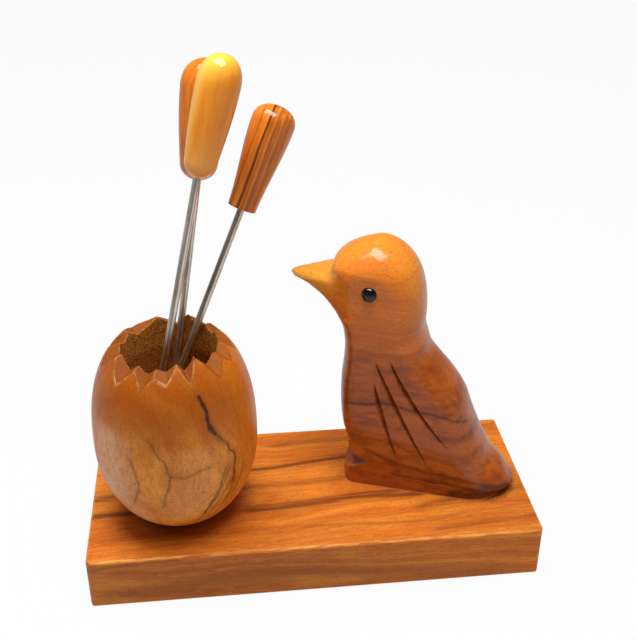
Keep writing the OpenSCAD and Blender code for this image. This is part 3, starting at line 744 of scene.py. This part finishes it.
# Heartwood lines across the body and along the foot, with smudges round them; painted shadow at the
# tail
low_z = z + waver * 0.6 + (grit - 0.5) * 1.2
belt_points = [(-29, 31.6), (-20, 31.7), (-13, 33), (-5, 31.7), (3, 31), (9, 28.6), (15, 24)]
belt = slab.line(x, low_z, belt_points, 0.9, 3.6)
skirt_points = [(-24, 17.5), (-12, 11.7), (-1, 9.2), (10, 8), (19, 6), (29, 2)]
skirt = slab.line(x, low_z, skirt_points, 1, 2.8)
hem = slab.line(x, low_z, [(-14, 7), (-2, 5.6), (10, 5.2), (22, 3.4), (30, 2)], 0.8, 2.4)
# Low at the tail: a heartwood line, with painted shadow where the tail meets the board
heel_line_and_shadow = slab.line(x, low_z, [(7, 1), (15, 2.8), (22, 3.2), (29, 1.4)], 3.4)
smudge = slab.line(x, low_z, [(2, 23.4), (9, 22.4), (15, 22.8), (22, 21)], 2.2)
cape = slab.line(x, low_z + x * 0.3, [(-14, 41), (-4, 44.5), (3, 44), (9, 41)], 3.5)
slope = slab.line(x, low_z, [(-6, 55), (-1, 47), (4, 40), (12, 33)], 2.4)
deep = 1 - slab.rise(z + x * 0.15 + waver * 2, 42, 56)
# A painted highlight: a lighter orange strip along the edge of the back
painted_back_highlight = slab.line(z, x, [(36, 8), (43, 3.6), (48, -0.6), (57, -5)], 3.6)
painted_back_highlight = painted_back_highlight * slab.rise(blotch, 0.3, 0.5)
# Paler wood and a painted sheen over the crown, a paler beak, and end grain bared on the chest
thin = abs(y)
crown_pale_and_sheen = (1 - slab.rise(thin + waver * 0.5, 6.5, 11.5)) * slab.rise(z, 62, 72)
beak = 1 - slab.rise(x + waver * 0.5, -36, -28)
chest = (1 - slab.rise(thin, 5, 11)) * (1 - slab.rise(z, 60, 68)) * (1 - slab.rise(x, -20, -6))
tone = slab.shade(slab.rise(bands, 0.38, 0.62), colour(226, 122, 44), colour(200, 98, 30))
tone = slab.shade(deep * 0.55, tone, colour(152, 72, 24))
tone = slab.shade(slab.rise(blotch, 0.44, 0.64) * deep * 0.5, tone, colour(108, 48, 16))
tone = slab.shade(slab.rise(bands, 0.54, 0.68) * deep * 0.35, tone, colour(112, 48, 16))
tone = slab.shade(cape * 0.3 + slope * 0.3, tone, colour(112, 48, 18))
tone = slab.shade(painted_back_highlight * 0.35, tone, colour(226, 116, 36))
tone = slab.shade(slab.rise(z, 56, 66) * 0.3, tone, colour(244, 140, 44))
# Paler wood, with a painted sheen, over the crown's rounding
tone = slab.shade(crown_pale_and_sheen * 0.4, tone, colour(252, 166, 52))
tone = slab.shade(beak * (slab.rise(z, 66, 70.5) * 0.4 + 0.15), tone, colour(254, 180, 68))
tone = slab.shade(chest * 0.45, tone, colour(148, 60, 16))
tone = slab.shade(slab.rise(fibre, 0.46, 0.7) * 0.3, tone, colour(120, 54, 20))
dark = belt * 0.62 + skirt * 0.5 + hem * 0.5 + smudge * 0.4 + heel_line_and_shadow * 0.95
dark = dark * (slab.rise(blotch, 0.2, 0.6) * 0.6 + 0.4)
tone = slab.shade(dark.math("MINIMUM", 0.82), tone, colour(66, 30, 16))
# Painted shade along the V-tool grooves, on both sides of the slab
painted_groove_shade = sum(
    slab.line(z, x, [(low, end), (middle, through), (high, start)], 0.8, 1.7)
    for (start, high), (through, middle), (end, low) in GROOVES
)
painted_groove_shade = painted_groove_shade.math("MINIMUM", 1) * slab.rise(thin, SLAB / 2 - 2.5, SLAB / 2 - 1.5)
tone = slab.shade(painted_groove_shade * 0.45, tone, colour(104, 42, 12))
tone = slab.shade(speck * 0.28, tone, colour(88, 38, 14))
tone = slab.shade(slab.rise(grit, 0.45, 0.62) * 0.16, tone, colour(110, 50, 20))
tone = slab.shade((1 - slab.rise(z, 0.2, 0.7)) * 0.7, tone, colour(244, 186, 126))
slab.feed(Base_Color=tone, Roughness=fibre * 0.14 + 0.32)
slab.relief(fibre * -0.3 - speck * 0.5, 0.05)
piece("chick_carved", chick_mesh, slab, "stand", "chick_wood", "chick_body")


# --- The eyes ---
# Two glossy black beads, each glued by its pin into a shallow seat in the side of the head.
jet = Finish("black_bead", Base_Color=colour(16, 16, 20), Roughness=0.12)
quarter = np.radians(np.linspace(0, 87, 18))
bead_r = [PIN_R, PIN_R, BEAD_R, *(BEAD_R * np.cos(quarter))]
bead_z = [-SEAT - PIN_L, -SEAT, -SEAT, *(BEAD_OUT * np.sin(quarter))]
for name, eye in zip(("left_eye", "right_eye"), eyes):
    bead = turned_to(turned_to(tube(bead_r, bead_z, 64), *eye), CHICK_AT, chick_turn)
    piece(name + "_bead_glossy", shell(name, bead), jet, "stand", "bead", name + "_bead")


# --- The fork handles ---
# Three turned handles of different woods, varnished: slim at the rod, widest near the top.
# Each is bored at its lower end, a little off its axis, and glued onto its rod.
ROD_R, ROD_HELD, END_POWER = 1.1, 18, 2.2
LIFT, TINE_APART, POINT_R = 0.3, 2.8, 0.25
# Where the points of each stand in the hollow, the heading of its tines, how far its handle was
# drilled askew, in degrees, and the length from its points to its handle
FORKS = {
    "pale": dict(foot=(-10.8, -6.5), tines=10, askew=3, rod=97.3),
    "brown": dict(foot=(-4.4, 5), tines=-10, askew=-1.6, rod=91.1),
    "striped": dict(foot=(-12.1, -1), tines=-42, askew=-0.7, rod=89.2),
}
# The handle's length, its widest and its end diameter, and where and how it swells to the widest
FORKS["pale"].update(length=34.2, wide=12.2, end=8.2, widest=0.76, power=1.1)
FORKS["brown"].update(length=34.2, wide=14, end=9.9, widest=0.76, power=1.1)
FORKS["striped"].update(length=31.3, wide=12.8, end=8.5, widest=0.83, power=1.5)
for joint in frame["joints"]:
    fork = FORKS[joint["name"].removesuffix("_fork_lift")]
    x, y, z = way = np.array(joint["axis"])
    # The lower of the two points is lifted a little off the floor of the hollow
    across = math.cos(math.radians(fork["tines"]) - math.atan2(y, x))
    height = LIFT + (TINE_APART / 2 * abs(across) + POINT_R) * math.hypot(x, y)
    fork["way"], fork["tip"] = way, EGG_AT + (*fork["foot"], FLOOR_H + height)
    fork["base"] = fork["tip"] + fork["rod"] * way
    fork["lean"] = np.array([math.tan(math.atan(x / z) + math.radians(fork["askew"])), y / z, 1])


def facing(way):
    """The rotation that turns the upright to a direction: tilted, then turned to its heading."""
    x, y, z = way
    tilt, heading = math.atan2(math.hypot(x, y), z), math.atan2(y, x)
    return np.array(Matrix.Rotation(heading, 3, "Z") @ Matrix.Rotation(tilt, 3, "Y"))


def handle_rings(fork, flat_end):
    """Radius: from the end's to the widest by the sine of 90 degrees (share / widest)^power, then a
    rounded end over the rest. The lower end is rounded over too, unless it is cut flat."""
    t = (1 - np.cos(np.linspace(0, math.pi, 90)[1:-1])) / 2
    swell = np.sin(math.pi / 2 * np.clip(t / fork["widest"], 0, 1) ** fork["power"])
    radius = (fork["end"] + (fork["wide"] - fork["end"]) * swell) / 2
    radius *= 1 if flat_end else rounded(t / 0.13, END_POWER)
    top = fork["wide"] / 2 * rounded((1 - t) / (1 - fork["widest"]), END_POWER)
    return tube(np.where(t < fork["widest"], radius, top), t * fork["length"], 80)


def varnished(name, fork, light, dark, vein):
    """Varnished wood with its grain along the handle: fibres, broad streaks and fine pores."""
    along = Vector(fork["lean"]).normalized()
    across = (to_the_right - to_the_right.project(along)).normalized()
    turn = np.degrees(Matrix((along, across, along.cross(across))).transposed().to_euler())
    varnish = dict(Specular_IOR_Level=0.05, Coat_Weight=0.7, Coat_Roughness=0.08)
    wood = Wood(name, fork["base"], turn, **varnish)
    x, y, z = wood.x, wood.y, wood.z
    streak = wood.cloud(x / 30, y / 3, z / 3, 3, 0.6)
    speck = wood.rise(wood.cloud(x / 1.2, y / 0.6, z / 0.6, 3, 0.7), 0.56, 0.68)
    fibre = wood.cloud(x / 9, y / 0.35, z / 0.35, 3, 0.65)
    tone = wood.shade(wood.rise(streak, 0.36, 0.64), light, dark)
    tone = wood.shade(wood.rise(fibre, 0.48, 0.74) * 0.22 + speck * 0.16, tone, vein)
    return wood, tone, fibre


looks = {
    "pale": (colour(252, 154, 42), colour(240, 138, 32), colour(200, 98, 22)),
    "brown": (colour(240, 134, 36), colour(204, 102, 22), colour(100, 46, 14)),
    "striped": (colour(232, 134, 42), colour(202, 102, 28), colour(112, 52, 20)),
}
for name, fork in FORKS.items():
    wood, tone, fibre = varnished(name + "_varnish", fork, *looks[name])
    if name == "striped":
        # The view shows its year rings edge-on: one bold brown line, and fainter ones to its right
        side = wood.y + (wood.cloud(wood.x / 14, wood.y / 3, 0, 2) - 0.5) * 0.9
        places = (-3.5, -1, -0.1, 1.3, 2, 3.2, 4.7)
        widths = (0.25, 0.32, 0.25, 0.25, 0.2, 0.3, 0.3)
        depths = (0.35, 1, 0.4, 0.5, 0.3, 0.3, 0.3)
        lines = sum(
            (1 - wood.rise(abs(side - place), width * 0.4, width * 2)) * depth
            for place, width, depth in zip(places, widths, depths)
        )
        tone = wood.shade(lines.math("MINIMUM", 0.85), tone, colour(74, 34, 16))
    if name == "pale":
        # A painted highlight glow yellows its top; it pales towards its lower end
        painted_top_glow = wood.rise(wood.x - wood.y * 0.8, 24, 36)
        tone = wood.shade(painted_top_glow * 0.7, tone, colour(255, 214, 84))
        tone = wood.shade((1 - wood.rise(wood.x, 2, 16)) * 0.45, tone, colour(255, 186, 92))
        # Painted light pales its left side, as the camera sees it
        tone = wood.shade((1 - wood.rise(wood.y, -5.2, -2.6)) * 0.75, tone, colour(255, 200, 96))
    wood.feed(Base_Color=tone, Roughness=fibre * 0.15 + 0.3)
    wood.relief(fibre * -0.3, 0.03)
    handle = turned_to(handle_rings(fork, name == "striped"), fork["base"], facing(fork["lean"]))
    bore = tube([ROD_R + FIT] * 2, [fork["rod"] - ROD_R, fork["rod"] + ROD_HELD + SPARE])
    bore = shell("tool", turned_to(bore, fork["tip"], facing(fork["way"])))
    mesh = carved(shell(name + "_handle", handle), [bore])
    body, slot, node = name + "_fork", name + "_wood", name + "_fork_handle"
    piece(name + "_handle_turned", mesh, wood, body, slot, node)


# --- The rods and tines ---
# Drawn steel wire. Each rod is welded to the bend of one thinner wire, whose two ends are
# filed to points.
for name, fork in FORKS.items():
    turn = np.degrees(Matrix(facing(fork["way"])).to_euler())
    steel = Wood(name + "_drawn_steel", fork["tip"], turn, Metallic=1.0)
    x, y, z = steel.x, steel.y, steel.z
    scratch = steel.cloud(x / 0.25, y / 0.25, z / 9, 3, 0.7)
    stain = steel.cloud(x / 3, y / 3, z / 8, 3, 0.6)
    groove = steel.cloud(x / 0.55, y / 0.55, z / 60, 2)
    tone = steel.shade(steel.rise(stain, 0.4, 0.7), colour(250, 244, 234), colour(206, 194, 174))
    tone = steel.shade(steel.rise(groove, 0.46, 0.6) * 0.6, tone, colour(112, 98, 82))
    steel.feed(Base_Color=tone, Roughness=scratch * 0.3 + 0.22)
    steel.relief(scratch, 0.01)
    dress(name + "_fork_rod", steel)


# --- The screws ---
# Three zinc plated wood screws, countersunk in the underside of the board.
zinc = Wood("zinc_plate", Metallic=1.0)
x, y, z = zinc.x, zinc.y, zinc.z
bloom = zinc.cloud(x / 1.2, y / 1.2, z / 1.2, 4, 0.6)
tone = zinc.shade(bloom, colour(196, 198, 204), colour(150, 152, 160))
zinc.feed(Base_Color=tone, Roughness=bloom * 0.3 + 0.25)
zinc.relief(bloom, 0.01)
for name in ("egg_cup_screw", "chick_front_screw", "chick_rear_screw"):
    dress(name, zinc)
